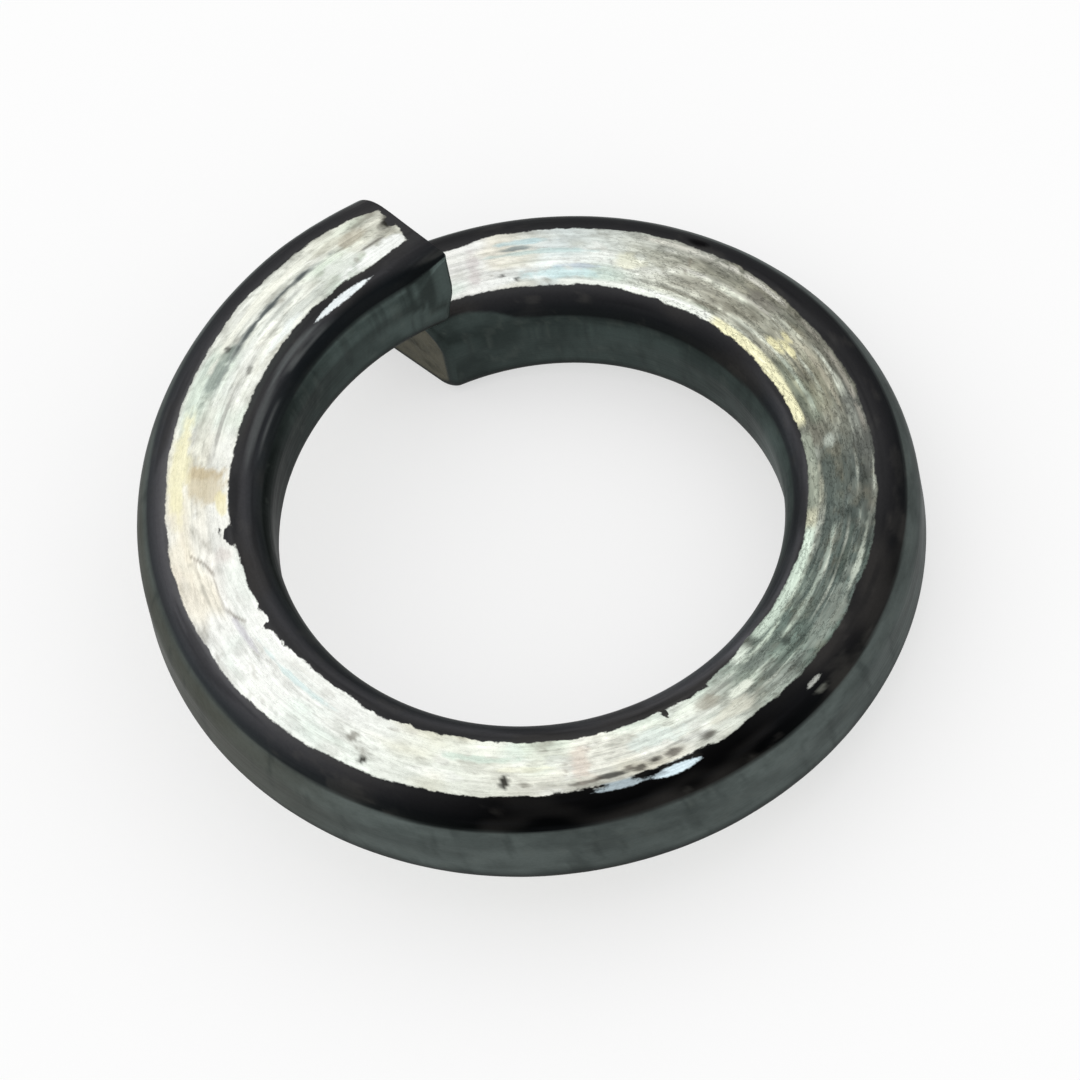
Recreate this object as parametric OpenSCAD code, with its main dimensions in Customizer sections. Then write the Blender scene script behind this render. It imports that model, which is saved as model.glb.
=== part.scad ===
// Spring lock washer: one turn of round-cornered steel wire, coiled left-handed and cut on the skew.
// The ring's axis is Z and its lowest point is at z = 0. The low end starts behind the axis and the
// wire climbs clockwise, seen from above, until the raised end lies over the low one.

/* [Ring] */
// Inner diameter of the ring
bore_d = 24.8; // [12:0.1:60]
// Clear height between the low end's top and the raised end one turn above it
end_gap = 0.6; // [0.3:0.05:3]
// Angle that the raised end runs past one full turn, in degrees
overlap_a = 4.9; // [0:0.1:8]

/* [Wire section] */
// Radial width of the wire
wire_w = 6.7; // [5:0.1:12]
// Thickness of the wire along the axis
wire_t = 5.2; // [3.5:0.1:9]
// Radius of the two upper corners
top_r = 2.1; // [0.6:0.05:2.3]
// Radius of the two lower corners
base_r = 0.95; // [0.3:0.05:1.1]

/* [Cut ends] */
// Bearing of the low end's inner corner, in degrees from +X
cut_at = 100; // [0:1:359]
// Skew of the cut at the low end, in degrees from a radial cut
low_skew = 27; // [0:1:40]
// Skew of the cut at the raised end, in degrees from a radial cut
high_skew = 26; // [0:1:40]
// Radius left at the raised end's upper inner corner
high_corner_r = 0.4; // [0.3:0.05:2]
// Angle over which the corner draws out square at the raised end, in degrees
corner_a = 11; // [4:1:30]
// Height of the burr that the cut drew up at the raised end's inner tip
burr_h = 0.95; // [0:0.05:1.5]
// Angle over which the top rises into the burr, in degrees
burr_a = 13; // [3:1:30]

/* [Hidden] */

bore_r = bore_d / 2;
outer_r = bore_r + wire_w;
// Rise along the axis in one full turn
lead = wire_t + end_gap;
sweep_a = 360 + overlap_a;
// Rings of the swept surface: in the whole sweep, and of these the ones closer together under the burr
rings = 130;
burr_rings = 12;
// Steps in each rounded corner
corner_steps = 6;
// How far the raw wire stands past both walls, and in degrees past both cuts
allowance = 0.4;
overrun_a = 1.5;
// Part of each rounded corner, in degrees, that the true wall replaces
wall_a = 9;

// Eases from 0 to 1 with no kink at either end
function ease(x) = let(c = min(max(x, 0), 1)) c * c * (3 - 2 * c);

// Radius of the upper inner corner at a turn of a degrees from the low end
function inner_top_r(a) = high_corner_r + (top_r - high_corner_r) * ease((sweep_a - a) / corner_a);

// Rounded corner about a centre, from angle a0 to a1
function corner(cx, cz, r, a0, a1) =
    [for (i = [0:corner_steps]) let(a = a0 + (a1 - a0) * i / corner_steps) [cx + r * cos(a), cz + r * sin(a)]];

// Closed outline of the raw wire: x is the distance from the bore's wall, z the height over the low face
function wire_section(a) = let(ri = inner_top_r(a)) concat(
    [[wire_w + allowance, base_r + allowance / 2], [wire_w + allowance, wire_t - top_r - allowance / 2]],
    corner(wire_w - top_r, wire_t - top_r, top_r, wall_a, 90),
    corner(ri, wire_t - ri, ri, 90, 180 - wall_a),
    [[-allowance, wire_t - ri - allowance / 2], [-allowance, base_r + allowance / 2]],
    corner(base_r, base_r, base_r, 180 + wall_a, 270),
    corner(wire_w - base_r, base_r, base_r, 270, 360 - wall_a)
);
section_n = len(wire_section(0));

// Turn by which a straight cut with this skew falls back at the radius r, counted from the bore
function skew_lag(r, skew) = skew - asin(sin(skew) * bore_r / r);

// Share of the sweep at which ring k stands
function ring_share(k) = let(plain = 1 - burr_a / sweep_a)
    k <= rings - burr_rings ? plain * k / (rings - burr_rings) : plain + (1 - plain) * (1 - (rings - k) / burr_rings);

// Rise of the top at x from the bore's wall and z over the low face, with a degrees left before the cut
function burr(x, z, a) =
    burr_h * pow(1 - min(max(x, 0), wire_w) / wire_w, 1.5) * pow(1 - min(max(a, 0), burr_a) / burr_a, 2)
    * ease(2 * z / wire_t - 1);

// A point of the section at share s of the sweep, placed on the coil
function coil_point(p, s) =
    let(r = bore_r + p[0])
    let(from = -skew_lag(r, low_skew) - overrun_a)
    let(to = sweep_a - skew_lag(r, high_skew) + overrun_a)
    let(a = from + (to - from) * s)
    [r * cos(cut_at - a), r * sin(cut_at - a), p[1] + burr(p[0], p[1], to - overrun_a - a) + lead * a / 360];

// The raw coil, a little long at both ends, with each end closed from the middle of its section
module raw_coil() {
    middle = [wire_w / 2, wire_t / 2];
    ring_points = [for (k = [0:rings]) let(s = ring_share(k)) for (p = wire_section(sweep_a * s)) coil_point(p, s)];
    low_mid = len(ring_points);
    last = rings * section_n;
    points = concat(ring_points, [coil_point(middle, 0), coil_point(middle, 1)]);
    low_cap = [for (i = [0:section_n - 1]) [i, (i + 1) % section_n, low_mid]];
    high_cap = [for (i = [0:section_n - 1]) [last + (i + 1) % section_n, last + i, low_mid + 1]];
    skin = [for (k = [0:rings - 1]) for (i = [0:section_n - 1])
        let(a = k * section_n + i, b = k * section_n + (i + 1) % section_n)
        each [[a, a + section_n, b + section_n], [a, b + section_n, b]]];
    polyhedron(points, concat(low_cap, high_cap, skin));
}

// Block with one upright face on the skewed cut that meets the bore at turn a; side is 1 behind it, -1 ahead
module end_cut(a, skew, side, z0, z1) {
    depth = outer_r / 16;
    rotate([0, 0, cut_at - a])
        translate([bore_r, 0, z0])
            rotate([0, 0, skew])
                translate([-wire_w / 4, side > 0 ? 0 : -depth, 0])
                    cube([wire_w * 7 / 4, depth, z1 - z0]);
}

// The coil cut at both ends and turned true inside and out, raised until its lowest corner is at z = 0
module washer() {
    drop = lead * skew_lag(outer_r - base_r, low_skew) / 360;
    color([0.62, 0.65, 0.64])
        translate([0, 0, drop])
            difference() {
                intersection() {
                    difference() {
                        raw_coil();
                        end_cut(0, low_skew, 1, -wire_t, wire_t + end_gap / 4);
                        end_cut(sweep_a, high_skew, -1, wire_t + end_gap / 2, 3 * lead);
                    }
                    cylinder(h = 6 * lead, r = outer_r, center = true, $fn = 180);
                }
                cylinder(h = 7 * lead, r = bore_r, center = true, $fn = 180);
            }
}

washer();
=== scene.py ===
import math
import bpy
import numpy as np
from mathutils import Matrix


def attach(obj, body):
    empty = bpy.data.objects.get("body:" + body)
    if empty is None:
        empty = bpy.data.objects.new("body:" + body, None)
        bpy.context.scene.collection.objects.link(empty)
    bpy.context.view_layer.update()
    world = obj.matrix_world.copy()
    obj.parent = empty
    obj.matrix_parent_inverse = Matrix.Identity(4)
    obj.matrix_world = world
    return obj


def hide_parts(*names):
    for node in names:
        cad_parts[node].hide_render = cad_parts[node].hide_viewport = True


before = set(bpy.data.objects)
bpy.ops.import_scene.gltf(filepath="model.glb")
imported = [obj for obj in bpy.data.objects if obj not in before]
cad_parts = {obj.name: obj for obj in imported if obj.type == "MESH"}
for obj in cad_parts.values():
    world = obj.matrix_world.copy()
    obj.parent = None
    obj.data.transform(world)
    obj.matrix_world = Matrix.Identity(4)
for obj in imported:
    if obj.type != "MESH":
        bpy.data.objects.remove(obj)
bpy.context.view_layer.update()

# Sizes of the washer, in millimetres and degrees, as in the CAD model
BORE_R = 12.4
WIRE_W = 6.7
WIRE_T = 5.2
LEAD = 5.8
OVERLAP = 4.9
TOP_R = 2.1
BASE_R = 0.95
CUT_AT = 100.0
LOW_SKEW = 27.0
HIGH_SKEW = 26.0
HIGH_CORNER_R = 0.4
CORNER_A = 11.0
BURR_H = 0.95
BURR_A = 13.0
SWEEP = 360.0 + OVERLAP
MEAN_R = BORE_R + WIRE_W / 2

# Worn edge round each cut face: its radius on the top, on the walls and on the underside
LOW_EDGE = (0.42, 0.3, 0.45)
HIGH_EDGE = (0.12, 0.25, 0.5)
# How far the shear pushed the raised end's foot back, and up to which heights over the low face
FOOT_BACK = 0.43
FOOT_FULL, FOOT_NONE = 0.8, 3.2
# How far the raised end's outer shoulder sags, from which share of the width, and over how many degrees
SHOULDER_SAG = 0.28
SHOULDER_FROM = 0.55
SHOULDER_A = 16.0
# Depths of the wire's slow waves, softer bumps and small dents, with the rings and points that one spans
WAVES = ((0.014, (34, 26)), (0.006, (9, 11)), (0.003, (3, 5)))
# Roughness of the cut faces, and how far they stand proud in the middle
SHEAR_ROUGH = 0.03
SHEAR_PROUD = 0.02

# Rings of the mesh: plain, closer together under the burr, in each cut face, and in the worn edges
BODY_RINGS = 556
BURR_RINGS = 60
CAP_RINGS = 16
EDGE_STEPS = 8
# Points in each stretch of the section: outer wall, outer top corner, top land, inner top corner,
# inner wall, inner bottom corner, bottom land, outer bottom corner
STEPS = (7, 24, 52, 24, 7, 7, 8, 6)

# Colours of the paint are written as they look on screen, 0 to 255.
# The flat top: its shaded outer third, streaks, mottling, stained films, hair lines, flakes and whiter strip
SHADED = (92, 94, 88)
PALE_STREAK = (214, 219, 205)
DARK_STREAK = (84, 90, 84)
GREY_MOTTLE = (122, 121, 108)
WHITE_MOTTLE = (250, 252, 246)
COOL_FILM = (232, 246, 241)
WARM_FILM = (251, 244, 230)
HAIR_LINE = (120, 122, 114)
GREY_FLAKE = (112, 111, 102)
TAN_FLAKE = (140, 134, 120)
CRACKLE = (92, 92, 82)
WHITER_STRIP = (251, 253, 248)
CRACK = (120, 110, 98)
# The rounded corners, dark with painted shade for the dark surroundings they mirror: their tones, with mm past
# the flat top's border, and what lies on them
CORNER_SHADE_TONES = [(0.3, (60, 60, 61)), (0.9, (46, 46, 48)), (1.5, (32, 34, 36)), (2.1, (34, 38, 38))]
CORNER_CLOUD = (62, 60, 58)
CORNER_MOTTLE = (84, 82, 78)
CORNER_STREAK = (24, 25, 27)
# Deeper painted shade low on the bore's corner by the raised end
LOW_CORNER_SHADE = (12, 17, 20)
# Pale streaks of painted sheen on the bore's corner by the raised end
CORNER_SHEEN = (96, 99, 99)
# The slate walls, their slate a painted reflection of dark surroundings, darker in the bore
OUTER_WALL_REFLECTION = (77, 84, 82)
BORE_WALL_REFLECTION = (52, 60, 58)
TANNED_SLATE = (84, 83, 73)
SCUFF = (96, 102, 97)
UPRIGHT_MARK = (48, 54, 53)
SMUDGE = (40, 46, 44)
# Painted shade at the foot of the walls
WALL_FOOT_SHADE = (30, 33, 32)
# The underside
UNDER = (150, 156, 148)
UNDER_STREAK = (196, 200, 190)
UNDER_MOTTLE = (104, 108, 101)
# The sheared ends
SHEAR = (74, 74, 64)
PALE_SHEAR = (100, 98, 85)
SHEAR_LINE = (58, 60, 54)

# Tone of the flat top on its way round: turn in degrees, colour
TOP_TONES = [
    (0, (228, 227, 222)), (14, (237, 239, 235)), (26, (232, 241, 239)), (38, (228, 233, 224)),
    (46, (226, 228, 214)), (56, (210, 211, 196)), (68, (182, 183, 168)), (84, (163, 160, 141)),
    (94, (152, 154, 141)), (104, (104, 111, 106)), (126, (92, 103, 98)), (142, (106, 116, 110)),
    (157, (158, 166, 156)), (167, (236, 240, 229)), (180, (248, 249, 238)), (198, (247, 247, 234)),
    (215, (242, 247, 236)), (240, (248, 251, 245)), (262, (250, 252, 247)), (276, (249, 247, 239)),
    (296, (243, 241, 226)), (310, (240, 242, 232)), (334, (238, 241, 231)), (352, (230, 231, 217)),
    (362, (212, 211, 198))]
# How strongly the streaks show on the way round: turn, strength
DULLNESS = [
    (0, 0.2), (38, 0.3), (60, 1.0), (150, 1.0), (168, 0.4), (215, 0.15), (262, 0.15), (300, 0.3), (345, 0.55)]
# Shade of the flat top's outer third on its way round: turn, strength
OUTER_SHADE = [
    (14, 0.0), (20, 0.1), (36, 0.14), (50, 0.52), (80, 0.7), (95, 0.92), (104, 0.84), (120, 0.3), (130, 0.0),
    (162, 0.0), (168, 0.3), (190, 0.34), (200, 0.2), (216, 0.12), (230, 0.0)]
# Stains on the top: turn, distance from the bore, half length in degrees, half width in mm, colour, strength
TOP_STAINS = [
    # Beside the low end
    (10, 3.4, 1.1, 1.2, (198, 189, 188), 0.5),
    (27, 2.35, 7.0, 0.3, (206, 236, 238), 0.6),
    (30.5, 2.8, 3.6, 0.12, (170, 184, 200), 0.6),
    (17.8, 4.0, 2.4, 0.14, (108, 124, 128), 0.75),
    (22, 3.7, 7.0, 0.12, (190, 214, 212), 0.6),
    (19, 4.35, 4.0, 0.15, (196, 224, 228), 0.7),
    (17.7, 2.2, 0.5, 0.12, (52, 52, 50), 0.85),
    (15, 2.5, 0.4, 0.1, (70, 68, 66), 0.8),
    # Worn, yellowish stretch
    (39, 3.3, 2.6, 0.4, (240, 240, 214), 0.6),
    (44, 3.9, 4.0, 0.45, (150, 150, 134), 0.6),
    (53, 2.35, 9.0, 0.1, (112, 110, 98), 0.7),
    (55, 3.0, 6.0, 0.45, (150, 147, 134), 0.5),
    (64.5, 3.1, 6.5, 0.5, (136, 134, 120), 0.5),
    (51, 3.7, 3.0, 0.12, (228, 228, 218), 0.75),
    (63, 3.72, 7.0, 0.1, (200, 199, 188), 0.6),
    (64.5, 4.15, 3.8, 0.28, (122, 119, 112), 0.6),
    (74, 2.75, 2.6, 0.16, (240, 235, 190), 0.9),
    (76.2, 3.1, 2.2, 0.14, (236, 231, 186), 0.85),
    (74, 3.45, 1.4, 0.13, (228, 222, 176), 0.75),
    (86, 3.75, 8.0, 0.12, (184, 180, 162), 0.55),
    (88, 3.1, 6.0, 0.35, (130, 126, 108), 0.5),
    (99, 2.7, 1.3, 0.35, (190, 198, 187), 0.7),
    (96, 4.3, 8.0, 0.5, (98, 101, 97), 0.65),
    (55, 4.15, 7.0, 0.35, (122, 124, 114), 0.45),
    # Dark green-grey stretch
    (109, 2.45, 8.0, 0.4, (94, 103, 98), 0.8),
    (128, 2.35, 9.0, 0.28, (92, 102, 97), 0.7),
    (152, 2.45, 4.5, 0.35, (112, 121, 114), 0.7),
    (136, 4.2, 10.0, 0.4, (158, 166, 156), 0.5),
    (106, 3.2, 8.0, 0.1, (88, 96, 92), 0.65),
    (128, 2.75, 9.5, 0.1, (172, 184, 172), 0.7),
    (124, 3.65, 6.0, 0.16, (88, 98, 91), 0.6),
    (125.5, 4.35, 7.5, 0.13, (196, 204, 190), 0.8),
    (145.6, 3.1, 0.9, 0.26, (58, 64, 60), 0.8),
    (137, 3.3, 6.5, 0.3, (104, 114, 106), 0.45),
    # Where it turns pale again, with black pits along the outer border
    (158, 3.15, 2.8, 0.2, (230, 236, 222), 0.85),
    (162, 3.9, 4.5, 0.4, (222, 222, 206), 0.7),
    (165, 2.8, 2.2, 0.5, (154, 149, 134), 0.6),
    (168.6, 4.3, 1.5, 0.24, (66, 61, 54), 0.8),
    (174.8, 4.3, 1.5, 0.22, (70, 62, 58), 0.75),
    (178.4, 4.3, 1.2, 0.2, (44, 40, 38), 0.85),
    (181.2, 4.45, 1.1, 0.16, (58, 52, 48), 0.8),
    (183, 4.25, 0.9, 0.14, (84, 76, 70), 0.75),
    (185.8, 4.45, 2.2, 0.17, (44, 42, 40), 0.85),
    (190.5, 4.5, 2.4, 0.1, (86, 80, 72), 0.7),
    (176.5, 3.2, 4.5, 0.5, (228, 240, 233), 0.7),
    (190.6, 3.4, 1.6, 0.9, (222, 206, 192), 0.55),
    (200, 3.4, 5.0, 0.16, (238, 238, 214), 0.5),
    (204, 4.12, 0.62, 0.32, (38, 36, 32), 0.95),
    (200.5, 4.3, 0.8, 0.14, (100, 94, 82), 0.6),
    (209, 2.9, 6.0, 0.2, (214, 234, 220), 0.6),
    # White front
    (228.2, 4.42, 0.85, 0.24, (48, 46, 42), 0.95),
    (232, 3.5, 0.7, 0.22, (124, 120, 110), 0.7),
    (248, 2.75, 8.0, 0.14, (212, 232, 230), 0.7),
    (260, 3.15, 4.0, 0.16, (206, 204, 212), 0.6),
    (278, 2.55, 1.4, 0.4, (206, 196, 190), 0.5),
    # Tan patch with its yellow rims
    (293.2, 3.15, 3.4, 0.85, (210, 198, 168), 0.75),
    (295.8, 3.05, 1.1, 0.7, (188, 170, 134), 0.5),
    (289, 2.3, 2.4, 0.22, (240, 231, 184), 0.7),
    (296, 4.5, 8.0, 0.4, (244, 239, 200), 0.8),
    # Raised end
    (334, 2.5, 5.5, 0.28, (196, 202, 196), 0.55),
    (307, 2.85, 7.5, 0.08, (160, 160, 154), 0.7),
    (318.4, 2.65, 1.2, 0.16, (104, 104, 98), 0.75),
    (327, 3.8, 15.0, 0.17, (134, 140, 138), 0.75),
    (330, 3.78, 8.5, 0.1, (82, 88, 89), 0.9),
    (315.5, 4.05, 5.5, 0.3, (140, 152, 144), 0.75),
    (328, 3.3, 13.0, 0.22, (244, 249, 242), 0.5),
    (346, 2.9, 5.5, 0.45, (246, 250, 243), 0.65),
    (330, 4.4, 12.0, 0.24, (250, 251, 238), 0.75),
    (320.6, 4.2, 0.5, 0.12, (44, 44, 42), 0.8),
    (332, 3.25, 7.0, 0.09, (190, 194, 186), 0.6),
    (336, 2.35, 4.0, 0.07, (178, 182, 176), 0.5),
    (350.5, 3.85, 2.6, 0.35, (172, 162, 140), 0.55),
    (345, 4.25, 3.5, 0.2, (188, 187, 170), 0.5),
    (352.3, 2.95, 2.8, 0.08, (108, 104, 98), 0.75),
    (348.6, 2.6, 0.7, 0.2, (150, 148, 136), 0.6),
    (356.7, 3.55, 1.3, 0.36, (26, 24, 22), 0.95),
    (353.5, 2.3, 6.5, 0.42, (250, 253, 249), 0.95),
    (328, 2.3, 7.0, 0.2, (240, 246, 242), 0.8)]
# Fine lines: turn and distance from the bore at both ends, width in mm, strength
CRACKS = [
    (263.4, 2.7, 267.1, 3.35, 0.13, 0.55),
    (267.1, 3.35, 274.0, 3.3, 0.1, 0.3),
    (274.6, 3.2, 277.4, 3.6, 0.14, 0.6),
    (277.4, 3.6, 279.6, 4.15, 0.13, 0.6),
    (188.5, 2.3, 189.2, 3.0, 0.12, 0.35),
    (193.0, 3.2, 193.6, 4.0, 0.12, 0.35),
    (49.4, 3.4, 49.0, 4.5, 0.12, 0.5),
    (225, 2.3, 227, 2.35, 0.1, 0.4)]
# Bright rims along the inner and outer borders: first and last turn, colour, strength
INNER_RIMS = [
    (26, 66, (244, 248, 240), 1.0),
    (60, 93.3, (246, 243, 204), 1.0),
    (96, 115, (166, 174, 158), 0.7),
    (115, 120, (212, 212, 186), 0.9),
    (119.5, 148, (220, 236, 220), 1.0),
    (151, 155.5, (228, 238, 224), 1.0)]
OUTER_RIMS = [
    (40, 68, (220, 219, 208), 0.9),
    (68, 98, (180, 176, 164), 0.5)]
# Soft marks on the rounded corners, the pale ones at turns 149, 308 and 326 being painted highlights beside the
# glints: turn, distance past the border, half length in degrees, half width in mm, whether it is on the bore's
# side, colour, strength
CORNER_MARKS_AND_HIGHLIGHTS = [
    (149.3, 1.42, 1.3, 0.12, False, (120, 122, 114), 0.6),
    (326, 0.8, 9.0, 0.15, True, (96, 100, 100), 0.75),
    (308, 0.98, 11.0, 0.17, True, (90, 93, 93), 0.7),
    (318, 0.3, 16.0, 0.2, True, (66, 69, 68), 0.6),
    (48.5, 0.92, 2.0, 0.3, False, (9, 8, 10), 1.0)]
# Bright glints on the rounded corners, drawn as crisply as the bright top's border: as above, without strength
GLINTS = [
    (341.3, 0.7, 7.6, 0.18, True, (242, 249, 250)),
    (175.8, 0.6, 4.6, 0.24, False, (220, 238, 245)),
    (185.0, 0.5, 5.4, 0.13, False, (168, 182, 188)),
    (149.2, 0.9, 2.2, 0.11, False, (170, 172, 166))]
# Painted light and shade on the corners and walls on their way round: turn, share of brightness
OUTER_CORNER_LIGHT = [
    (0, 0.9), (60, 0.85), (100, 0.8), (125, 0.38), (145, 0.4), (165, 0.08), (205, 0.12), (218, 0.45),
    (240, 1.7), (262, 3.0), (300, 3.0), (330, 1.6), (360, 1.0)]
BORE_CORNER_LIGHT = [
    (0, 0.9), (35, 0.8), (70, 0.9), (95, 3.4), (115, 2.8), (150, 5.4), (175, 4.6), (195, 2.8), (230, 2.2),
    (270, 2.0), (330, 1.8), (365, 1.4)]
OUTER_WALL_LIGHT = [(0, 1.1), (125, 1.0), (155, 1.25), (190, 1.05), (215, 1.4), (300, 1.3), (365, 1.2)]
BORE_WALL_LIGHT = [
    (0, 1.1), (17, 1.2), (35, 1.4), (55, 1.3), (75, 1.35), (90, 2.2), (112, 1.8), (135, 0.8), (290, 0.35),
    (310, 0.55), (330, 1.05), (347, 1.7), (365, 1.8)]
# Where the slate walls begin on the corners, in degrees from the flat top: turn, degrees
OUTER_SKIRT = [
    (0, 45), (84, 44), (110, 46), (128, 51), (145, 56), (200, 58.5), (215, 57), (235, 52), (270, 45), (365, 45)]
BORE_SKIRT = [
    (0, 27), (7, 30), (12, 38), (17, 52), (22, 55), (72, 55), (92, 46), (112, 47), (130, 54), (280, 54),
    (320, 58.5), (342, 57.5), (365, 57.5)]
# How far the bright top reaches past the flat's borders on the way round: turn, mm
INNER_BORDER = [
    (0, 0.22), (24, 0.37), (41, 0.42), (66, 0.55), (83, 0.64), (93, 0.7), (115, 0.74), (149, 0.74), (158, 0.45),
    (166, 0.2), (190, 0.15), (232, 0.27), (241, 0.33), (290, 0.22), (340, 0.15)]
OUTER_BORDER = [
    (0, 0.2), (24, 0.37), (41, 0.46), (56, 0.44), (68, 0.27), (83, 0.16), (114, 0.1), (150, 0.16), (170, 0.22),
    (190, 0.27), (232, 0.37), (241, 0.46), (318, 0.5), (345, 0.46), (352, 0.32), (355.5, -0.1)]
# Dark bites out of the bright top's border: turn, distance from the bore, half length in degrees, half width
# in mm
NOTCHES = [
    (357.5, 3.5, 1.1, 0.36),
    (257.5, 1.85, 3.6, 0.16),
    (259.9, 1.9, 1.1, 0.36),
    (282.2, 1.9, 2.2, 0.4),
    (283.4, 2.5, 1.0, 0.1),
    (172.8, 2.0, 0.6, 0.55),
    (167, 1.7, 4.5, 0.3),
    (181, 1.7, 5.0, 0.2),
    (176.5, 4.85, 9.0, 0.1)]


# Form of the wire
def ease(x):
    c = np.clip(x, 0.0, 1.0)
    return c * c * (3 - 2 * c)


def lag(r, skew):
    """Degrees by which a straight cut with this skew falls back at the radius r, counted from the bore."""
    return skew - np.degrees(np.arcsin(np.sin(np.radians(skew)) * BORE_R / r))


# Height that brings the washer's lowest point to the floor
DROP = LEAD * lag(BORE_R + WIRE_W - BASE_R, LOW_SKEW) / 360


def inner_top_r(a):
    return HIGH_CORNER_R + (TOP_R - HIGH_CORNER_R) * ease((SWEEP - a) / CORNER_A)


def section(a):
    """Closed outline of the wire at turn a: points and outward normals."""
    ri = float(inner_top_r(a))
    pts, nor = [], []

    def straight(x0, z0, x1, z1, steps, n):
        for i in range(steps):
            pts.append((x0 + (x1 - x0) * i / steps, z0 + (z1 - z0) * i / steps))
            nor.append(n)

    def corner(cx, cz, r, a0, steps):
        for i in range(steps):
            t = math.radians(a0 + 90 * i / steps)
            pts.append((cx + r * math.cos(t), cz + r * math.sin(t)))
            nor.append((math.cos(t), math.sin(t)))

    straight(WIRE_W, BASE_R, WIRE_W, WIRE_T - TOP_R, STEPS[0], (1, 0))
    corner(WIRE_W - TOP_R, WIRE_T - TOP_R, TOP_R, 0, STEPS[1])
    straight(WIRE_W - TOP_R, WIRE_T, ri, WIRE_T, STEPS[2], (0, 1))
    corner(ri, WIRE_T - ri, ri, 90, STEPS[3])
    straight(0, WIRE_T - ri, 0, BASE_R, STEPS[4], (-1, 0))
    corner(BASE_R, BASE_R, BASE_R, 180, STEPS[5])
    straight(BASE_R, 0, WIRE_W - BASE_R, 0, STEPS[6], (0, -1))
    corner(WIRE_W - BASE_R, BASE_R, BASE_R, 270, STEPS[7])
    return np.array(pts), np.array(nor, float)


def turn_inside(off, skew, d):
    """Turn that leads d mm square into the wire from a cut with this skew, at this offset from the bore."""
    r = BORE_R + off
    lean = np.arcsin(np.sin(np.radians(skew)) * BORE_R / r)
    return np.degrees(d / (r * np.cos(lean)))


def coil(off, z, a):
    b = np.radians(CUT_AT - a)
    r = BORE_R + off
    return np.stack([r * np.cos(b), r * np.sin(b), z + LEAD * a / 360 + DROP], -1)


def edge_radius(nrm, sizes):
    """Radius of the worn edge at each point of the section, from the way its normal points."""
    top, wall, base = sizes
    up = nrm[:, 1] * 1.2
    return wall + (top - wall) * ease(up) + (base - wall) * ease(-up)


def end_rise(off, z, left):
    """Rise of the raised end's top, where a burr stands at the inner tip and the outer shoulder sags.

    left is the turn that is left before the cut."""
    across = (1 - np.clip(off, 0, WIRE_W) / WIRE_W) ** 1.5
    along = (1 - np.clip(left, 0, BURR_A) / BURR_A) ** 2
    shoulder = ease((off / WIRE_W - SHOULDER_FROM) / (1 - SHOULDER_FROM)) * ease(1 - left / SHOULDER_A)
    return (BURR_H * across * along - SHOULDER_SAG * shoulder) * ease(2 * z / WIRE_T - 1)


def smooth_noise(shape, scale, rng):
    """Soft random hills over a grid, wrapped across the second axis, about -1 to 1."""
    rows = max(2, int(shape[0] / scale[0]) + 3)
    cols = max(3, int(round(shape[1] / scale[1])))
    grid = rng.uniform(-1, 1, (rows, cols))
    u = np.arange(shape[0]) / scale[0]
    v = np.arange(shape[1]) * cols / shape[1]
    i, j = u.astype(int), v.astype(int)
    fu, fv = ease(u - i)[:, None], ease(v - j)[None, :]
    j1 = (j + 1) % cols
    a, b = grid[i][:, j], grid[i][:, j1]
    c, d = grid[i + 1][:, j], grid[i + 1][:, j1]
    return (a * (1 - fu) + c * fu) * (1 - fv) + (b * (1 - fu) + d * fu) * fv


def past_border(off, z):
    """Distance in mm past the flat top's inner and outer borders, round the corners and down the walls."""
    def side(x, depth):
        bend = TOP_R * np.arcsin(np.clip(1 - x / TOP_R, 0, 1))
        bend = np.where(x < TOP_R, bend, TOP_R - x)
        return bend + np.where(x < 0.02, np.clip(depth, 0, None), 0.0)
    deep = WIRE_T - TOP_R - z
    return side(off, deep), side(WIRE_W - off, deep)


# Paint: the tones of the worn plating, worked out on the surface's own coordinates
def linear(rgb):
    v = np.asarray(rgb, float) / 255
    return np.where(v <= 0.04045, v / 12.92, ((v + 0.055) / 1.055) ** 2.4)


def hills(x, y, size_x, size_y, seed, octaves=4, rough=0.55):
    """Random hills and hollows of about this size in mm, with mean 0 and spread 1."""
    total = np.zeros_like(x)
    for o in range(octaves):
        table = np.random.default_rng(seed * 37 + o).uniform(-1, 1, (256, 256))
        u = x / size_x * 2 ** o + 11.3 * o
        v = y / size_y * 2 ** o + 5.7 * o
        i, j = np.floor(u).astype(int), np.floor(v).astype(int)
        fu, fv = ease(u - i), ease(v - j)
        i, j, k, m = i % 256, j % 256, (i + 1) % 256, (j + 1) % 256
        total += rough ** o * ((table[i, j] * (1 - fu) + table[k, j] * fu) * (1 - fv)
                               + (table[i, m] * (1 - fu) + table[k, m] * fu) * fv)
    return (total - total.mean()) / total.std()


def step(x, low, high):
    return ease((x - low) / (high - low))


def between(x, low, high, soft):
    return step(x, low - soft, low + soft) * (1 - step(x, high - soft, high + soft))


def on_way(x, stops):
    """Value at x from a table of (place, value)."""
    return np.interp(x, *zip(*stops))


def tones(x, stops):
    """Colours at x from a table of (place, colour)."""
    places, colours = zip(*stops)
    rgb = linear(colours)
    return np.stack([np.interp(x, places, rgb[:, k]) for k in range(3)], -1)


def coat(like, colour):
    """One colour all over, with a row for each value of like."""
    return np.broadcast_to(linear(colour), like.shape + (3,))


def blend(mask, under, over):
    over = linear(over) if isinstance(over, tuple) else over
    return under + (over - under) * np.clip(mask, 0, 1)[..., None]


def tint(mask, under, colour):
    """Colour laid over like a stained film, which only takes light away."""
    return under * (1 + (linear(colour) - 1) * np.clip(mask, 0, 1)[..., None])


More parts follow.
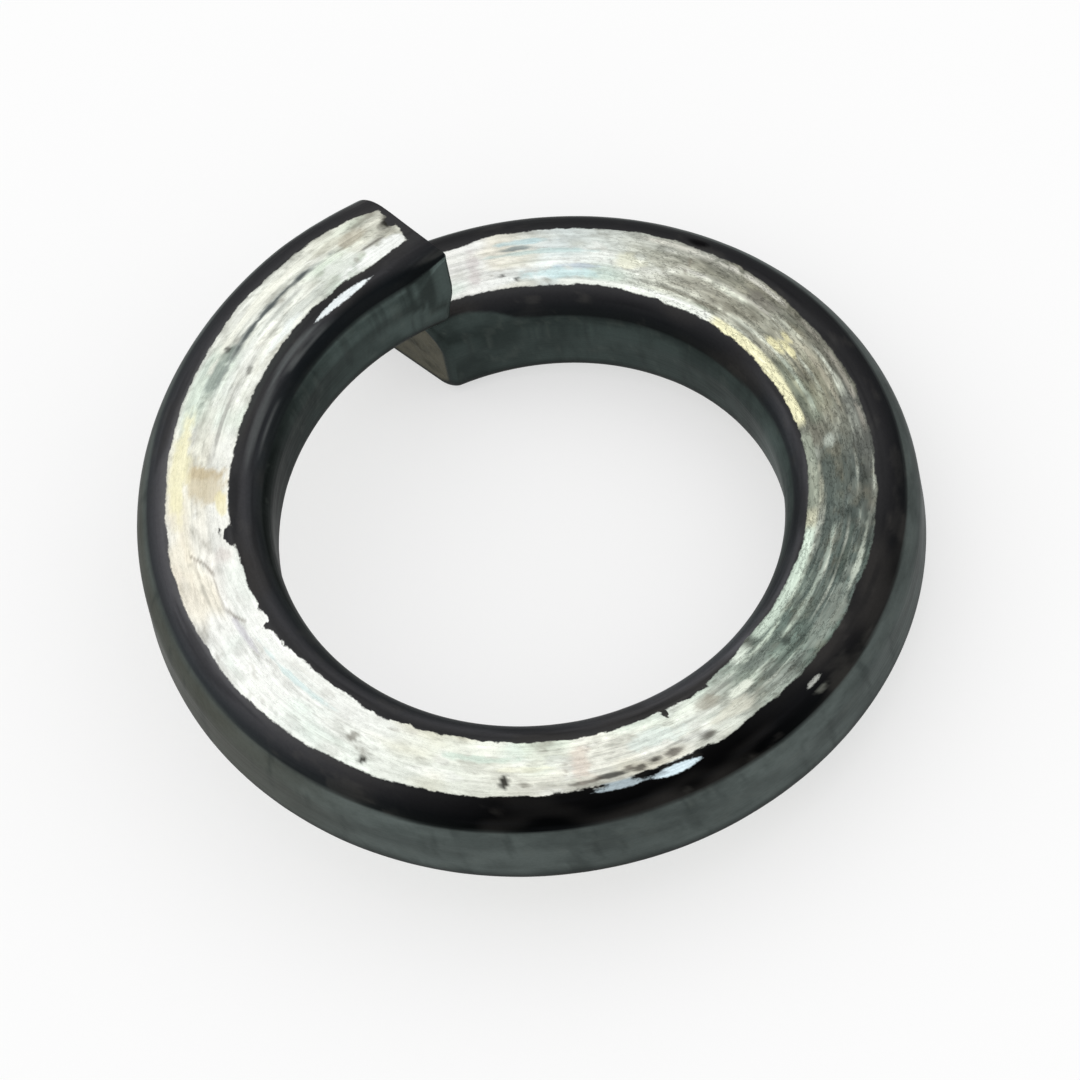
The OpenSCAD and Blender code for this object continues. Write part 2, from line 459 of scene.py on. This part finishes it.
class Paint:
    """Colours of the surface, from each point's place on the wire.

    turn in degrees; off and z in mm from the bore and over the low face; inner and outer in mm past the flat
    top's borders; roll in degrees by which the surface has turned from up; to_end in mm to the nearer cut; cut
    is 1 on the cut faces."""

    def __init__(self, turn, off, z, inner, outer, roll, to_end, cut):
        self.turn, self.off, self.z, self.roll = turn, off, z, roll
        self.inner, self.outer, self.to_end, self.cut = inner, outer, to_end, cut
        # Distances along the wire and round its section, with the underside set well apart
        x = np.radians(turn) * MEAN_R
        bore_way = np.minimum(inner, 2.6) + np.maximum(inner - math.pi / 2 * TOP_R, 0)
        y = np.where(off < WIRE_W / 2, -bore_way, outer + WIRE_W - 2 * TOP_R)
        y = y + np.where(z < 1e-3, 40.0 + off, 0.0)
        self.x, self.y = x, y
        self.torn = hills(x, y, 0.7, 0.55, 1, 4, 0.7)
        self.cloud = hills(x, y, 5.0, 2.2, 2, 3)
        self.mottle = hills(x, y, 1.8, 0.9, 3, 4, 0.6)
        self.streak = hills(x, y, 6.0, 0.36, 4, 3, 0.62)
        self.fine = hills(x, y, 3.2, 0.17, 5, 2, 0.5)
        self.flake = hills(x, y, 0.9, 0.6, 6, 3, 0.6)
        self.weave = hills(x, y, 1.1, 0.27, 7, 2, 0.6)
        self.crackle = 1 - step(np.abs(hills(x, y, 2.0, 0.5, 13, 3, 0.6)), 0.04, 0.2)
        self.in_border = inner - on_way(turn, INNER_BORDER)
        self.out_border = outer - on_way(turn, OUTER_BORDER)

    def reach(self, turn, across, half_turn, half_width, place):
        """How far each point is from a stain's middle: 1 on the oval round it."""
        return np.hypot((self.turn - turn) / half_turn, (place - across) / half_width)

    def line(self, turn_a, across_a, turn_b, across_b, width):
        """Mask of one thin, slightly wandering line between two places on the top."""
        to_mm = math.radians(MEAN_R)
        ax, bx = turn_a * to_mm, turn_b * to_mm
        length = math.hypot(bx - ax, across_b - across_a)
        ux, uy = (bx - ax) / length, (across_b - across_a) / length
        dx, dy = self.x - ax, self.off - across_a
        run = dx * ux + dy * uy
        away = np.abs(dy * ux - dx * uy + 0.05 * self.mottle)
        return (1 - step(away, width * 0.3, width)) * between(run, 0.0, length, 0.12)

    def corner_place(self, at_bore):
        return self.inner if at_bore else self.outer

    def top(self):
        """Colours of the bright flat top."""
        t, off = self.turn, self.off
        dull = on_way(t, DULLNESS)
        top = tones(t, TOP_TONES)
        top = blend(step(off, 3.6, 4.3) * on_way(t, OUTER_SHADE), top, SHADED)
        top = blend(step(self.streak, 0.4, 1.7) * dull * 0.7, top, PALE_STREAK)
        top = blend(step(-self.streak, 0.2, 1.8) * dull * 0.55, top, DARK_STREAK)
        top = blend(step(-self.mottle, 0.3, 1.8) * (0.2 + 0.3 * dull), top, GREY_MOTTLE)
        top = blend(step(self.mottle, 0.5, 1.4) * np.clip(0.6 - 0.6 * dull, 0, 1), top, WHITE_MOTTLE)
        top = top * (1 + 0.19 * np.clip(self.weave, -2, 2) * dull)[:, None]
        top = tint(step(self.cloud, 0.4, 1.8) * 0.7, top, COOL_FILM)
        top = tint(step(-self.cloud, 0.4, 1.8) * 0.7, top, WARM_FILM)
        top = blend(step(-self.fine, 0.5, 2.0) * 0.2, top, HAIR_LINE)
        top = blend(step(-self.flake, 0.9, 1.7) * (0.16 + 0.2 * dull), top, GREY_FLAKE)
        top = blend(step(self.flake * self.mottle, 1.2, 2.2) * (1 - 0.7 * dull) * 0.3, top, TAN_FLAKE)
        top = blend(self.crackle * (0.1 + 0.4 * dull), top, CRACKLE)
        # A whiter strip by the bore between turns 226 and 306
        top = blend(between(t, 226.0, 306.0, 8.0) * between(off, 1.7, 3.0, 0.3) * 0.55, top, WHITER_STRIP)
        for turn, across, half_turn, half_width, colour, strength in TOP_STAINS:
            torn = self.reach(turn, across, half_turn, half_width, off) + 0.22 * self.torn
            top = blend((1 - step(torn, 0.6, 1.4)) * strength, top, colour)
        for a, b, c, d, width, strength in CRACKS:
            top = blend(self.line(a, b, c, d, width) * strength, top, CRACK)
        # Bright rims just inside the borders of the flat top
        near = between(self.in_border, -0.48, 0.1, 0.06) * step(self.inner, -0.04, 0.16)
        for first, last, colour, strength in INNER_RIMS:
            top = blend(near * between(t, first, last, 1.4) * strength, top, colour)
        near = between(self.out_border, -0.32, -0.08, 0.08) * step(self.torn, -1.2, 0.0)
        for first, last, colour, strength in OUTER_RIMS:
            top = blend(near * between(t, first, last, 2.0) * strength, top, colour)
        # The glints' colour, a little past the outline that border() gives them
        for turn, across, half_turn, half_width, at_bore, colour in GLINTS:
            reach = self.reach(turn, across, half_turn + 2, half_width + 0.12, self.corner_place(at_bore))
            top = blend(reach < 1, top, colour)
        return top

    def corners(self, bore_side):
        """Colours of the rounded corners: dark with painted shade, and painted light and shade on the way
        round.
        """
        t = self.turn
        side = tones(np.maximum(self.inner, self.outer), CORNER_SHADE_TONES)
        # Painted light and shade on the corners on their way round
        side = np.where((self.outer > 0)[:, None], side * on_way(t, OUTER_CORNER_LIGHT)[:, None], side)
        side = side * (1 + bore_side * (on_way(t, BORE_CORNER_LIGHT) - 1))[:, None]
        side = blend(step(self.cloud, 0.0, 1.8) * 0.5, side, CORNER_CLOUD)
        side = blend(step(self.mottle, 0.8, 2.0) * 0.2, side, CORNER_MOTTLE)
        side = blend(step(-self.streak, 0.4, 1.8) * 0.4, side, CORNER_STREAK)
        # Painted shade: a deeper dark band low on the bore's corner by the raised end
        low = between(self.roll, 30.0, 60.0, 8.0) * bore_side
        side = blend(low * step(t, 296.0, 335.0) * 0.8, side, LOW_CORNER_SHADE)
        # Painted sheen: pale streaks along the bore's corner by the raised end
        sheen_band = between(self.roll, 16.0, 46.0, 6.0) * bore_side * between(t, 296.0, 336.0, 8.0)
        return blend(step(self.streak, 0.1, 1.3) * sheen_band * 0.75, side, CORNER_SHEEN)

    def walls(self, bore_side, by_bore):
        """Colours of the slate walls, their slate a painted reflection of dark surroundings, with painted light
        and shade on the way round and painted shade at the foot.
        """
        t = self.turn
        # The slate is a painted reflection of dark surroundings, darker in the bore
        wall = blend(bore_side, coat(t, OUTER_WALL_REFLECTION), BORE_WALL_REFLECTION)
        # Painted light and shade on the walls on their way round
        wall = wall * np.where(by_bore, on_way(t, BORE_WALL_LIGHT), on_way(t, OUTER_WALL_LIGHT))[:, None]
        # Painted light: the upper part of the bore's wall by the raised end is brighter
        upper = between(self.roll, 54.0, 84.0, 8.0) * step(t, 300.0, 330.0)
        wall = wall * (1 + 0.9 * bore_side * upper)[:, None]
        wall = wall * (1 + 0.132 * np.clip(self.mottle, -1.5, 1.5))[:, None]
        wall = blend(between(t, 236.0, 300.0, 16.0) * step(self.outer, 1.5, 2.2) * 0.6, wall, TANNED_SLATE)
        wall = blend(step(self.torn, 0.8, 2.2) * 0.2, wall, SCUFF)
        upright = hills(self.x, self.y, 0.5, 3.0, 8, 3, 0.6)
        wall = blend(step(-upright, 0.7, 2.2) * 0.4, wall, UPRIGHT_MARK)
        smudged = between(t, 352.0, 366.0, 3.0) * bore_side
        wall = blend(step(-self.mottle, -0.3, 1.1) * smudged * 0.6, wall, SMUDGE)
        # Painted shade darkens the walls towards their foot
        return blend((1 - step(self.z, 0.75, 1.15)) * 0.8, wall, WALL_FOOT_SHADE)

    def underside(self):
        """Colours of the flat underside: the same plating, plainer and greyer."""
        under = blend(step(self.streak, 0.0, 1.6) * 0.5, coat(self.turn, UNDER), UNDER_STREAK)
        return blend(step(-self.mottle, 0.2, 1.6) * 0.4, under, UNDER_MOTTLE)

    def cut_face(self):
        """Colours of the sheared ends: dull olive grey."""
        rough = hills(self.off, self.z, 0.8, 0.6, 9, 4, 0.65)
        lines = hills(self.off, self.z, 0.25, 2.4, 10, 3)
        face = blend(step(rough, -1.5, 1.5), coat(self.turn, SHEAR), PALE_SHEAR)
        return blend(step(lines, 0.4, 1.8) * 0.25, face, SHEAR_LINE)

    def side(self):
        """Colours of all that is not the bright flat top."""
        t, z = self.turn, self.z
        bore_side = step(self.inner, 0.5, 1.0)
        by_bore = bore_side > 0.5
        starts = np.where(by_bore, on_way(t, BORE_SKIRT), on_way(t, OUTER_SKIRT))
        skirt = step(self.roll - starts + 0.6 * self.cloud, -2.6, 2.6)
        side = blend(skirt, self.corners(bore_side), self.walls(bore_side, by_bore))
        upper = step(z, WIRE_T - TOP_R, WIRE_T - TOP_R + 0.2)
        # Marks on the corners, among them painted highlights beside the glints
        for turn, across, half_turn, half_width, at_bore, colour, strength in CORNER_MARKS_AND_HIGHLIGHTS:
            reach = self.reach(turn, across, half_turn, half_width, self.corner_place(at_bore))
            side = blend((1 - step(reach, 0.6, 1.2)) * upper * strength, side, colour)
        torn = self.off + 0.06 * self.torn
        flat = (step(torn, BASE_R * 0.6, BASE_R * 0.75)
                * (1 - step(torn, WIRE_W - BASE_R * 0.75, WIRE_W - BASE_R * 0.6)))
        side = blend((1 - step(z, 0.04, 0.16)) * flat, side, self.underside())
        return blend(step(self.cut, 0.2, 0.8), side, self.cut_face())

    def border(self):
        """Distance in mm inside the bright flat top's torn border, less than 0 outside it."""
        slow = hills(self.x, self.y * 0, 2.4, 1.0, 11, 4, 0.7)
        slow_out = hills(self.x, self.y * 0, 2.0, 1.0, 12, 4, 0.7)
        rim = np.minimum(0.045 * slow - self.in_border, 0.045 * slow_out - self.out_border)
        end_width = 0.34 + 0.05 * self.mottle + 0.25 * step(self.inner, -1.6, 0.2)
        rim = np.minimum(rim, self.to_end - end_width)
        for turn, across, half_turn, half_width in NOTCHES:
            reach = self.reach(turn, across, half_turn, half_width, self.off) + 0.12 * self.torn
            rim = np.minimum(rim, (reach - 1) * half_width)
        crumbled = between(self.turn, 208.0, 264.0, 8.0) * step(self.inner, -0.3, 0.1)
        rim = rim + (0.022 + 0.045 * crumbled) * self.torn
        for turn, across, half_turn, half_width, at_bore, _ in GLINTS:
            u = np.clip((self.turn - turn) / half_turn, -1.5, 1.5)
            away = np.abs(self.corner_place(at_bore) - across)
            rim = np.maximum(rim, half_width * (1 - u * u) - away + 0.008 * self.torn)
        return rim


# The washer's mesh: a sweep of rings, with worn edges and rough faces at both cuts
def stations():
    """Each ring's share of the sweep, and its depth behind the cut and below the surface, in edge radii."""
    theta = np.linspace(0, math.pi / 2, EDGE_STEPS + 1)[:-1]
    worn = list(zip(1 - np.cos(theta), 1 - np.sin(theta)))
    plain = 1 - BURR_A / SWEEP
    shares = np.concatenate([np.linspace(0, plain, BODY_RINGS + 1), np.linspace(plain, 1, BURR_RINGS + 1)[1:]])
    return ([(0.0, d, e) for d, e in worn] + [(s, 1.0, 0.0) for s in shares]
            + [(1.0, d, e) for d, e in reversed(worn)])


def sweep():
    """Grids of rings by points: place in the section, normal, turn, and turn from both cuts."""
    grids = [[] for _ in range(7)]
    for share, depth, inset in stations():
        p, nrm = section(SWEEP * share)
        low_r, high_r = edge_radius(nrm, LOW_EDGE), edge_radius(nrm, HIGH_EDGE)
        off, z = (p - nrm * (inset * (low_r if share < 0.5 else high_r))[:, None]).T
        cut_low = -lag(BORE_R + off, LOW_SKEW)
        cut_high = SWEEP - lag(BORE_R + off, HIGH_SKEW)
        low = cut_low + turn_inside(off, LOW_SKEW, depth * low_r)
        high = cut_high - turn_inside(off, HIGH_SKEW, depth * high_r)
        high = high - np.degrees(FOOT_BACK / BORE_R) * ease((FOOT_NONE - z) / (FOOT_NONE - FOOT_FULL))
        turn = low + (high - low) * share
        for grid, row in zip(grids, (off, z, nrm[:, 0], nrm[:, 1], turn, turn - cut_low, cut_high - turn)):
            grid.append(row)
    return [np.array(grid) for grid in grids]


def build_washer():
    """The washer's mesh, which holds the paint's colours as attributes of its points."""
    rng = np.random.default_rng(24)
    off, z, nx, nz, turn, after, left = sweep()
    rings, n = off.shape
    last = rings - 1
    inner, outer = past_border(off, z)
    # The cuts lean, so the way square to them is a little shorter than the way round
    to_end = np.radians(np.minimum(left, after)) * (BORE_R + off) * 0.93

    # Slow waves of the rolled wire, and small dents, pushed in along the normals
    lift = sum(depth * smooth_noise(off.shape, span, rng) for depth, span in WAVES)
    lift = np.minimum(lift, 0.0)
    lift[:3] = lift[-3:] = 0.0
    pts = coil(off + nx * lift, z + nz * lift + end_rise(off, z, left), turn)

    verts = [pts.reshape(-1, 3)]
    roll = np.degrees(np.arccos(np.clip(nz, -1, 1)))
    columns = {name: [grid.reshape(-1)] for name, grid in (
        ("turn", turn), ("off", off), ("z", z), ("inner", inner), ("outer", outer), ("roll", roll),
        ("to_end", to_end), ("cut", np.zeros(off.shape)))}
    k = np.arange(last)[:, None] * n
    i = np.arange(n)[None, :]
    j = (i + 1) % n
    faces = [np.stack([k + i, k + n + i, k + n + j, k + j], -1).reshape(-1, 4)]
    tris = []
    count = rings * n
    nxt = np.roll(np.arange(n), -1)

    # Cut faces: rings that close in on the middle of the section, with the slight roughness of a shear cut
    for ring, side in ((0, 1), (last, -1)):
        edge = pts[ring]
        centre = edge.mean(0)
        bearing = math.radians(CUT_AT - turn[ring].mean())
        along_wire = np.array([math.sin(bearing), -math.cos(bearing), 0.0]) * side
        # Every point of a cut face counts as well past both borders, and as facing sideways
        flat = {"turn": turn[ring].mean(), "inner": 4.0, "outer": 4.0, "roll": 90.0, "to_end": 0.0, "cut": 1.0}

        def add(row, share):
            """Add one ring of the face, which has drawn in to this share of the edge's size."""
            verts.append(row)
            for name, value in flat.items():
                columns[name].append(np.full(len(row), value))
            for name, grid in (("off", off[ring]), ("z", z[ring])):
                columns[name].append((grid.mean() + (grid - grid.mean()) * share)[:len(row)])

        before = np.arange(n) + ring * n
        for c in range(1, CAP_RINGS + 1):
            share = 1 - c / (CAP_RINGS + 1)
            rough = rng.uniform(-1, 1, n)
            rough = (rough + np.roll(rough, 1) + np.roll(rough, -1)) / 3
            proud = SHEAR_ROUGH * rough * min(1.0, c / 2) + SHEAR_PROUD
            add(centre + (edge - centre) * share + along_wire * proud[:, None], share)
            now = np.arange(n) + count
            count += n
            quad = [before, before[nxt], now[nxt], now]
            faces.append(np.stack(quad if side > 0 else [quad[0], *quad[:0:-1]], -1))
            before = now
        add(centre[None] + along_wire[None] * SHEAR_PROUD, 0.0)
        fan = [before, before[nxt]] if side > 0 else [before[nxt], before]
        tris.append(np.stack([*fan, np.full(n, count)], -1))
        count += 1

    xyz = np.concatenate(verts) * 0.001
    me = bpy.data.meshes.new("washer_wire")
    me.from_pydata(xyz.tolist(), [], np.concatenate(faces).tolist() + np.concatenate(tris).tolist())
    me.update()
    columns = {name: np.concatenate(data) for name, data in columns.items()}
    paint = Paint(**columns)
    seen = {"turn": columns["turn"], "offset": columns["off"], "height": columns["z"], "rim": paint.border()}
    for name, colours in (("top", paint.top()), ("side", paint.side())):
        for k, part in enumerate("rgb"):
            seen[name + "_" + part] = colours[:, k]
    for name, values in seen.items():
        me.attributes.new(name, "FLOAT", "POINT").data.foreach_set("value", values.astype(np.float32))
    me.polygons.foreach_set("use_smooth", np.ones(len(me.polygons), bool))
    ob = bpy.data.objects.new("washer_wire", me)
    bpy.context.scene.collection.objects.link(ob)
    return ob


class Shader:
    """Short ways to add and link a material's nodes."""

    def __init__(self, name):
        self.material = bpy.data.materials.new(name)
        self.material.use_nodes = True
        self.tree = self.material.node_tree
        self.tree.nodes.clear()

    def node(self, kind, **sets):
        made = self.tree.nodes.new(kind)
        for key, value in sets.items():
            setattr(made, key, value)
        return made

    def feed(self, value, socket):
        """Link an output to a socket, or set the socket to a plain value."""
        if isinstance(value, bpy.types.NodeSocket):
            self.tree.links.new(value, socket)
        else:
            socket.default_value = value

    def fill(self, made, *values, out=0):
        """Feed a node's inputs in order, and return one of its outputs."""
        for k, value in enumerate(values):
            self.feed(value, made.inputs[k])
        return made.outputs[out]

    def calc(self, op, *values):
        return self.fill(self.node("ShaderNodeMath", operation=op), *values)

    def ramped(self, value, low, high, first=0.0, last=1.0):
        """Soft step from first to last as the value goes from low to high."""
        made = self.node("ShaderNodeMapRange", interpolation_type="SMOOTHSTEP")
        return self.fill(made, value, low, high, first, last)

    def attribute(self, name):
        return self.node("ShaderNodeAttribute", attribute_name=name).outputs["Fac"]

    def painted(self, name):
        """Colour that the paint has left on the mesh."""
        parts = [self.attribute(name + "_" + part) for part in "rgb"]
        return self.fill(self.node("ShaderNodeCombineColor"), *parts)

    def mix(self, mask, under, over, kind="MIX"):
        made = self.node("ShaderNodeMix", data_type="RGBA", blend_type=kind)
        for value, name in ((mask, "Factor"), (under, "A"), (over, "B")):
            self.feed(value, made.inputs[name])
        return made.outputs["Result"]

    def noise(self, laid, along, across, scale, detail, rough):
        """Noise on the wire laid out straight, drawn out along it."""
        scaled = self.node("ShaderNodeVectorMath", operation="MULTIPLY")
        made = self.node("ShaderNodeTexNoise")
        self.feed(self.fill(scaled, laid, (along, across, across)), made.inputs["Vector"])
        made.inputs["Scale"].default_value = scale
        made.inputs["Detail"].default_value = detail
        made.inputs["Roughness"].default_value = rough
        return made.outputs["Fac"]

    def finish(self, shader):
        self.feed(shader, self.node("ShaderNodeOutputMaterial").inputs["Surface"])
        return self.material


def streaked_zinc():
    """Worn, streaked zinc plating: the mesh's paint, with hair lines and grit finer than the mesh."""
    s = Shader("streaked_zinc")
    # The wire laid out straight, in mm: along it, across it and up
    turn = s.attribute("turn")
    laid = s.fill(s.node("ShaderNodeCombineXYZ"), s.calc("MULTIPLY", turn, math.radians(MEAN_R)),
                  s.attribute("offset"), s.attribute("height"))
    hairline = s.noise(laid, 0.05, 3.0, 3.0, 2.0, 0.6)
    grit = s.noise(laid, 1.0, 1.4, 5.0, 2.0, 0.65)

    # The bright top inside its gritty border, the dark sides outside it
    edge = s.calc("ADD", s.attribute("rim"), s.calc("MULTIPLY", s.calc("SUBTRACT", grit, 0.5), 0.16))
    lit = s.ramped(edge, -0.05, 0.05)
    colour = s.mix(lit, s.painted("side"), s.painted("top"))
    shade = s.calc("MULTIPLY", s.ramped(hairline, 0.3, 0.6, 0.94, 1.02), s.ramped(grit, 0.3, 0.62, 0.94, 1.02))
    # Fine dark lines and pale flecks in the worn part of the top, the lines fainter elsewhere
    worn = s.calc("MULTIPLY", s.ramped(turn, 28.0, 48.0), s.ramped(turn, 150.0, 168.0, 1.0, 0.0))
    veins = s.calc("ABSOLUTE", s.calc("SUBTRACT", s.noise(laid, 0.32, 1.0, 2.4, 4.0, 0.72), 0.5))
    lines = s.calc("MULTIPLY", s.ramped(veins, 0.006, 0.032, 1.0, 0.0), s.calc("MULTIPLY_ADD", worn, 0.34, 0.1))
    flecks = s.ramped(s.noise(laid, 0.5, 1.6, 3.2, 3.0, 0.7), 0.54, 0.66, 0.0, 0.26)
    # Long combed streaks, faint on the white front
    combed = s.ramped(s.noise(laid, 0.07, 2.2, 2.4, 3.0, 0.6), 0.36, 0.62, -0.09, 0.07)
    combing = s.calc("ADD", s.ramped(turn, 194.0, 214.0, 1.0, 0.25), s.ramped(turn, 292.0, 312.0, 0.0, 0.75))
    shade = s.calc("MULTIPLY", shade, s.calc("SUBTRACT", 1.0, s.calc("MULTIPLY", lines, lit)))
    for change in (s.calc("MULTIPLY", combed, combing), s.calc("MULTIPLY", flecks, worn)):
        shade = s.calc("MULTIPLY", shade, s.calc("MULTIPLY_ADD", change, lit, 1.0))
    colour = s.mix(1.0, colour, shade, "MULTIPLY")

    bump = s.node("ShaderNodeBump")
    bump.inputs["Strength"].default_value = 0.2
    bump.inputs["Distance"].default_value = 0.00003
    s.feed(s.calc("ADD", hairline, s.calc("MULTIPLY", grit, 0.5)), bump.inputs["Height"])

    metal = s.node("ShaderNodeBsdfPrincipled")
    metal.inputs["Metallic"].default_value = 1.0
    # Dull towards the rim of every curve, as a worn coat is
    metal.inputs["Specular Tint"].default_value = (0.62, 0.62, 0.62, 1)
    s.feed(colour, metal.inputs["Base Color"])
    s.feed(s.calc("ADD", s.ramped(hairline, 0.35, 0.65, 0.24, 0.34), s.ramped(lit, 0.0, 1.0, 0.16, 0.0)),
           metal.inputs["Roughness"])
    s.feed(bump.outputs[0], metal.inputs["Normal"])
    return s.finish(metal.outputs[0])


def floor_paper():
    """White paper: about half of it is plain white to the eye and in reflections, the rest takes the shadow."""
    s = Shader("floor_paper")
    matt = s.node("ShaderNodeBsdfDiffuse")
    matt.inputs["Color"].default_value = (0.96, 0.96, 0.96, 1)
    ray = s.node("ShaderNodeLightPath").outputs
    seen = s.calc("MAXIMUM", ray["Is Camera Ray"], ray["Is Glossy Ray"])
    seen = s.calc("MAXIMUM", seen, ray["Is Transmission Ray"])
    glow = s.node("ShaderNodeEmission")
    white = s.calc("MULTIPLY", seen, 0.55)
    return s.finish(s.fill(s.node("ShaderNodeMixShader"), white, matt.outputs[0], glow.outputs[0]))


def lay_floor():
    reach = 3.0
    corners = [(-reach, -reach, 0), (reach, -reach, 0), (reach, reach, 0), (-reach, reach, 0)]
    mesh = bpy.data.meshes.new("floor")
    mesh.from_pydata(corners, [], [(0, 1, 2, 3)])
    mesh.materials.append(floor_paper())
    floor = bpy.data.objects.new("floor", mesh)
    bpy.context.scene.collection.objects.link(floor)
    return floor


def light_studio():
    """A soft studio: bright overhead, a little darker towards the horizon."""
    horizon, overhead = 0.72, 1.08
    world = bpy.data.worlds.new("studio")
    bpy.context.scene.world = world
    world.use_nodes = True
    sky = world.node_tree
    back = sky.nodes["Background"]
    back.inputs["Color"].default_value = (1, 1, 1, 1)
    direction = sky.nodes.new("ShaderNodeTexCoord")
    split = sky.nodes.new("ShaderNodeSeparateXYZ")
    fall = sky.nodes.new("ShaderNodeMapRange")
    fall.interpolation_type = "SMOOTHSTEP"
    for k, value in enumerate((0.1, 0.75, horizon, overhead), 1):
        fall.inputs[k].default_value = value
    sky.links.new(direction.outputs["Generated"], split.inputs[0])
    sky.links.new(split.outputs["Z"], fall.inputs[0])
    sky.links.new(fall.outputs[0], back.inputs["Strength"])


def place_camera():
    """The camera where the photograph was taken from."""
    # Bearing, height and roll in degrees, the point that it looks at, and the distance to it in metres
    bearing, height, roll = -90.189, 56.646, -12.455
    looks_at = (0.000266, -0.0008, 0.0055)
    distance = 0.73909
    data = bpy.data.cameras.new("camera")
    data.sensor_fit = "HORIZONTAL"
    data.sensor_width = 36.0
    data.lens = 504.85
    data.clip_start = 0.01
    data.clip_end = 20.0
    camera = bpy.data.objects.new("camera", data)
    bpy.context.scene.collection.objects.link(camera)
    turned = Matrix.Translation(looks_at)
    for angle, axis in ((bearing + 90, "Z"), (90 - height, "X"), (roll, "Z")):
        turned = turned @ Matrix.Rotation(math.radians(angle), 4, axis)
    camera.matrix_world = turned @ Matrix.Translation((0, 0, distance))
    bpy.context.scene.camera = camera


washer = build_washer()
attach(washer, "root")
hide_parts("washer")
washer.data.materials.append(streaked_zinc())

lay_floor()
light_studio()
place_camera()
bpy.context.scene.view_settings.view_transform = "Standard"
